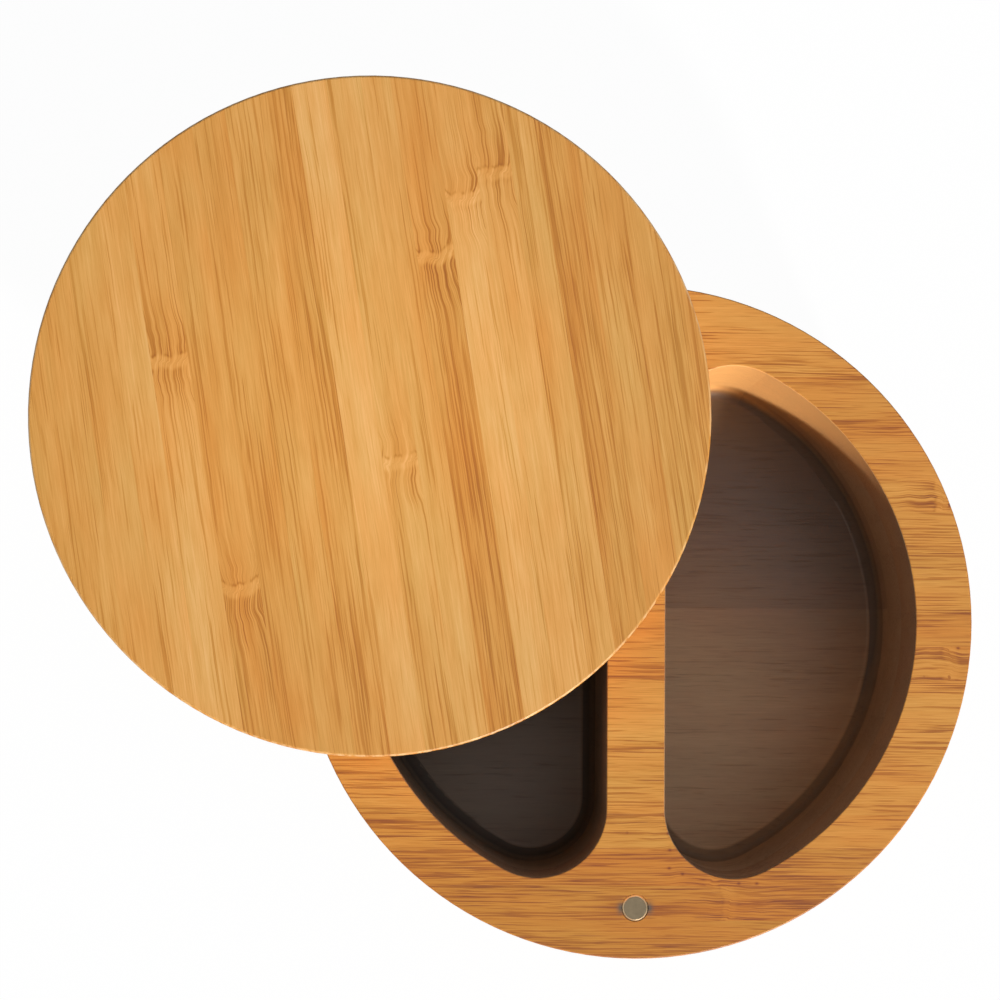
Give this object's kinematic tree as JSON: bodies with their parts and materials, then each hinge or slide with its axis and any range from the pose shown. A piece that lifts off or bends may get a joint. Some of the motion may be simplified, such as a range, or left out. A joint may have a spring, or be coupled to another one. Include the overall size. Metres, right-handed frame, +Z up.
{
  "type": "salt box",
  "caption": "Round bamboo salt box with two half-moon pockets either side of a divider, under a flat disc lid that swivels about a hidden vertical bolt and closes on a magnet.",
  "frame": {"origin": "centre of the body's flat bottom face, which the box stands on", "axes": "+Z up, out of the pockets; the divider runs along Y, with the lid's pivot near the +Y end and the closing magnet near the -Y end; at rest the lid is swung 74 degrees open, out over -X"},
  "size_m": [0.1773, 0.1649, 0.0673],
  "materials": {
    "bamboo_body": "satin",
    "bamboo_lid": "satin",
    "nickel_plate": "satin",
    "brass": "satin",
    "nylon": "matte",
    "steel": "satin"
  },
  "bodies": {
    "box": {"bottom_board": "bamboo_body", "middle_board": "bamboo_body", "top_board": "bamboo_body", "body_magnet": "nickel_plate", "pivot_bush": "brass", "glide_washer": "nylon", "flat_washer": "steel", "disc_spring": "steel"},
    "lid": {"lid_panel": "bamboo_lid", "lid_insert": "brass", "lid_magnet": "nickel_plate", "pivot_bolt": "steel"}
  },
  "joints": [
    {"name": "lid_swivel", "type": "hinge", "parent": "box", "child": "lid", "pos_m": [0, 0.0523, 0.0573], "axis": [0, 0, 1], "continuous": true}
  ]
}
